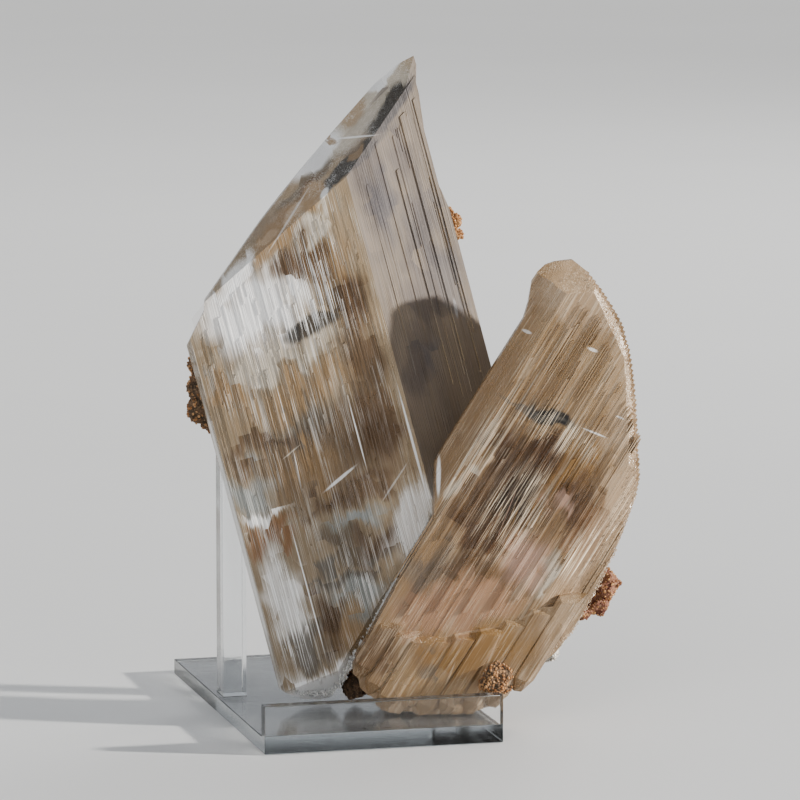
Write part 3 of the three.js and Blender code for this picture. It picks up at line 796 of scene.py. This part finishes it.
def sheet_inside(name, axes, left, right, bottom, top, depth, patches, seed):
    """A thin cloudy layer inside a crystal, tinted by its patches."""
    rows, columns = 150, 70
    vertices = []
    tints = []
    for i in range(rows + 1):
        w = bottom + (top - bottom) * i / rows
        for j in range(columns + 1):
            u = left(w) + (right(w) - left(w)) * j / columns
            swell = 1.6 * noise.noise(Vector((u * 0.07, w * 0.07, seed + 4)))
            vertices.append((u, depth(u) + swell, w))
            tints.append(patch_tint(patches, u, w, seed))
    faces = []
    for i in range(rows):
        for j in range(columns):
            a = i * (columns + 1) + j
            faces.append((a, a + 1, a + columns + 2, a + columns + 1))
    thing = new_object(name, vertices, faces)
    tint = thing.data.color_attributes.new("tint", "FLOAT_COLOR", "POINT")
    tint.data.foreach_set("color", [c for t in tints for c in t])
    thing.data.transform(axes)
    thing.data.shade_smooth()
    return thing


def tall_left(w):
    return max(-17.5, (w - 147) / 0.7 + 4) if w > 126 else max(-17.5, -17.5 + (12 - w) * 0.8)


def tall_right(w):
    return min(66.0, (w - 12) / 1.04 - 3.5)


def tall_depth(u):
    back = min(TALL_BACK, TALL_LEFT_EDGE[1] + tall_slope * (u - TALL_LEFT_EDGE[0]))
    front = max(0.0, tall_slope * (u - TALL_FRONT_RIGHT))
    return front + 0.6 * (back - front)


def short_left(w):
    return -16.5 if w > 84 else max(-16.5, -16.5 + (84 - w) * 0.45) if w > 66 else -7.5


def short_right(w):
    if w > 96:
        return 39.0 - (w - 96) * 0.88
    return min(41.5, 12 + (w - 8) * 0.95)


def short_depth(u):
    return 4.0


def sparkling_material(name, colour):
    graph = Graph(name)
    place = graph.place()
    tones = graph.noise(place, 0.9, 2.0)
    pale = rgba(*(min(1.0, part * 1.15) for part in colour))
    graph.set(
        base_color=graph.mix(graph.ramp(tones, 0.4, 0.6), rgba(*colour), pale),
        roughness=graph.ramp(tones, 0.3, 0.7, 0.08, 0.35),
        transmission_weight=0.35,
        ior=SELENITE_IOR,
    )
    return graph.material


def rim_grains(name, axes, path, count, sizes, spread, seed, material):
    """Small sharp crystals grown along an edge, given as a path of points on the crystal."""
    rng = random.Random(seed)
    points = [Vector(point) for point in path]
    lengths = [(b - a).length for a, b in zip(points, points[1:])]
    grains = bmesh.new()
    for _ in range(count):
        along = rng.uniform(0, sum(lengths))
        leg = 0
        while along > lengths[leg] and leg < len(lengths) - 1:
            along -= lengths[leg]
            leg += 1
        at = points[leg].lerp(points[leg + 1], along / lengths[leg])
        at += Vector([rng.uniform(-reach, reach) for reach in spread])
        size = rng.uniform(*sizes)
        turn = Euler([rng.uniform(-0.5, 0.5) for _ in range(3)]).to_matrix().to_4x4()
        shape = Matrix.Diagonal((size * rng.uniform(0.5, 1), size * rng.uniform(0.5, 1), size * 1.7, 1))
        bmesh.ops.create_icosphere(
            grains, subdivisions=1, radius=1, matrix=Matrix.Translation(at) @ turn @ shape)
    thing = object_of(name, grains)
    thing.data.transform(axes)
    thing.data.materials.append(material)
    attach(thing, "root")


# Matrix

BROWNS = (rgba(0.085, 0.06, 0.04), rgba(0.19, 0.12, 0.075), rgba(0.40, 0.28, 0.17))
ORANGES = (rgba(0.36, 0.17, 0.07), rgba(0.55, 0.32, 0.16), rgba(0.70, 0.54, 0.38))
REDS = (rgba(0.17, 0.065, 0.045), rgba(0.32, 0.16, 0.10), rgba(0.52, 0.38, 0.26))
GREYS = (rgba(0.50, 0.48, 0.44), rgba(0.70, 0.68, 0.63), rgba(0.80, 0.78, 0.74))


def crumb(node, material, grain_material, seed):
    """A CAD crumb given a fine craggy skin, with loose grains stuck to it."""
    rng = random.Random(seed)
    thing = cad_copy(node + "_rock", node, Matrix.Scale(MM, 4))
    remesh = thing.modifiers.new("remesh", "REMESH")
    remesh.mode = "VOXEL"
    remesh.voxel_size = 0.28
    baked(thing)
    normals = [v.normal.copy() for v in thing.data.vertices]
    for vertex, normal in zip(thing.data.vertices, normals):
        at = vertex.co
        crag = noise.fractal(at * 0.9 + Vector((seed, 0, 0)), 0.8, 2.2, 5)
        vertex.co = at + normal * (0.42 * crag - 0.12)
    thing.data.transform(Matrix.Scale(MM, 4))
    thing.data.materials.clear()
    thing.data.materials.append(material)
    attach(thing, "root")
    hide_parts(node)

    spots = [(v.co.copy(), v.normal.copy()) for v in thing.data.vertices]
    grains = bmesh.new()
    for _ in range(min(420, len(spots) // 12)):
        at, normal = rng.choice(spots)
        size = rng.uniform(0.18, 0.55) * MM
        turn = Euler((rng.uniform(0, 6), rng.uniform(0, 6), rng.uniform(0, 6))).to_matrix().to_4x4()
        shape = Matrix.Diagonal((rng.uniform(0.7, 1.3), rng.uniform(0.6, 1.2), 1, 1))
        place = Matrix.Translation(at + normal * size * 0.25) @ turn @ shape
        bmesh.ops.create_icosphere(grains, subdivisions=1, radius=size, matrix=place)
    loose = object_of(node + "_grains", grains)
    loose.data.materials.append(grain_material)
    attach(loose, "root")


# Stand

def stand():
    """The four sheets of the stand as one clear piece with softened edges."""
    overlap = 0.02 * MM
    body = None
    for node in ("base_plate", "front_lip", "post_left", "post_right"):
        low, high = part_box(node)
        if node != "base_plate":
            low = low - Vector((0, 0, overlap))
        corners = [(x, y, z) for z in (low.z, high.z) for x, y in (
            (low.x, low.y), (high.x, low.y), (high.x, high.y), (low.x, high.y))]
        quads = [(3, 2, 1, 0), (4, 5, 6, 7), (0, 1, 5, 4), (1, 2, 6, 5), (2, 3, 7, 6), (3, 0, 4, 7)]
        box = new_object("acrylic_stand" if body is None else node + "_box", corners, quads)
        body = box if body is None else combine(body, box, "UNION")
    soften = body.modifiers.new("soften", "BEVEL")
    soften.width = 0.3 * MM
    soften.segments = 3
    soften.limit_method = "ANGLE"
    soften.angle_limit = math.radians(40)
    soften.harden_normals = True
    baked(body)
    body.data.materials.clear()
    body.data.materials.append(acrylic_material())
    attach(body, "root")
    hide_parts("base_plate", "front_lip", "post_left", "post_right")


def dress_crystals():
    tall = tall_crystal()
    tall.data.materials.clear()
    tall.data.materials.append(tall_material())
    short = short_crystal()
    short.data.materials.clear()
    short.data.materials.append(short_material())
    veil = veil_material()
    tall_veil = sheet_inside(
        "tall_veil", TALL, tall_left, tall_right, 13, 186, tall_depth, TALL_PATCHES, 3)
    short_veil = sheet_inside(
        "short_veil", SHORT, short_left, short_right, 16, 152, short_depth, SHORT_PATCHES, 8)
    for piece in (tall_veil, short_veil):
        piece.data.materials.append(veil)
    for piece in (tall, short, tall_veil, short_veil):
        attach(piece, "root")
    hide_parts("selenite_crystals")
    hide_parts("selenite_crystals")

    clear = sparkling_material("clear_grains", (0.84, 0.83, 0.80))
    honey = sparkling_material("honey_grains", (0.70, 0.56, 0.42))
    rim = [(-2, -0.2, 9.2), (9, -0.2, 20.0), (25, -0.2, 36.4), (40, -0.2, 52)]
    rim_grains("tall_rim_grains", TALL, rim, 700, (0.14, 0.42), (0.9, 0.3, 0.8), 41, clear)
    foot = [(-18, 3, 10.6), (-12, 2, 7.6), (-6, 2, 6.2), (0, 2, 9.8)]
    rim_grains("tall_foot_grains", TALL, foot, 260, (0.16, 0.42), (0.9, 2.4, 0.7), 42, clear)
    border = [(43.0, 88), (39.6, 104.2), (30.7, 119), (23.6, 129)]
    border += [(12.4, 142.6), (1.8, 150.4), (-11.6, 155.8)]
    rim_grains("short_border_grains", SHORT, [(u - 0.45, -7, w - 0.4) for u, w in border],
               900, (0.10, 0.26), (0.3, 5.0, 0.3), 43, honey)
    lower = [(43.2, 87), (45, 71.4), (45.4, 57.5), (41, 39.1), (35, 24.4), (23.2, 13.6)]
    rim_grains("short_lower_grains", SHORT, [(u - 0.3, -8, w) for u, w in lower],
               520, (0.10, 0.26), (0.3, 3.5, 0.3), 44, honey)


def dress_matrix():
    brown = stone_material("brown_matrix_rock", BROWNS, 1.0)
    orange = stone_material("orange_matrix_grains", ORANGES, 2.0)
    red = stone_material("red_matrix_rock", REDS, 3.0)
    grey = stone_material("pale_matrix_rock", GREYS, 4.0)
    crumb("matrix_left", brown, orange, 31)
    crumb("matrix_upper_right", orange, orange, 32)
    crumb("matrix_lower_right", red, orange, 33)
    crumb("matrix_knob", grey, grey, 34)
    crumb("matrix_foot", brown, orange, 35)
    crumb("matrix_between", brown, brown, 36)


# Surroundings

def area_light(name, at, aim, size, power, colour):
    data = bpy.data.lights.new(name, "AREA")
    data.shape = "RECTANGLE"
    data.size, data.size_y = size
    data.energy = power
    data.color = colour
    light = bpy.data.objects.new(name, data)
    light.location = at
    light.rotation_mode = "QUATERNION"
    light.rotation_quaternion = (Vector(aim) - Vector(at)).to_track_quat("-Z", "Y")
    scene.collection.objects.link(light)


def surroundings():
    half = 30.0
    ground = new_object("floor", [(-half, -half, 0), (half, -half, 0), (half, half, 0), (-half, half, 0)],
                        [(0, 1, 2, 3)])
    ground.location.z = base_low.z - 0.0002
    ground.data.materials.append(floor_material())

    world = bpy.data.worlds.new("studio")
    world.use_nodes = True
    world.node_tree.nodes["Background"].inputs["Color"].default_value = (0.92, 0.95, 1.0, 1)
    world.node_tree.nodes["Background"].inputs["Strength"].default_value = 0.40
    scene.world = world

    middle = (0.02, -0.02, 0.1)
    sun = bpy.data.lights.new("key", "SUN")
    sun.energy = 5.5
    sun.angle = math.radians(2.5)
    sun.color = (1.0, 0.97, 0.93)
    key = bpy.data.objects.new("key", sun)
    key.rotation_mode = "QUATERNION"
    key.rotation_quaternion = KEY_DIRECTION.to_track_quat("-Z", "Y")
    scene.collection.objects.link(key)
    area_light("front_fill", (-0.9, -1.5, 0.9), middle, (1.2, 1.2), 8, (0.95, 0.97, 1.0))
    area_light("back_fill", (1.3, 1.2, 1.1), middle, (1.2, 0.9), 12, (1.0, 1.0, 1.0))


def photograph_camera():
    data = bpy.data.cameras.new("camera")
    data.sensor_width = CAMERA_SENSOR
    data.lens = CAMERA_LENS
    data.clip_start = 0.05
    data.clip_end = 100
    camera = bpy.data.objects.new("camera", data)
    camera.location = CAMERA_AT
    camera.rotation_mode = "QUATERNION"
    camera.rotation_quaternion = CAMERA_LOOK.to_track_quat("-Z", "Y")
    scene.collection.objects.link(camera)
    scene.camera = camera


dress_crystals()
dress_matrix()
stand()
surroundings()
photograph_camera()
scene.cycles.use_denoising = True
scene.view_settings.look = "AgX - Medium High Contrast"
scene.cycles.max_bounces = 7
scene.cycles.transmission_bounces = 7
scene.cycles.diffuse_bounces = 2
scene.cycles.glossy_bounces = 3
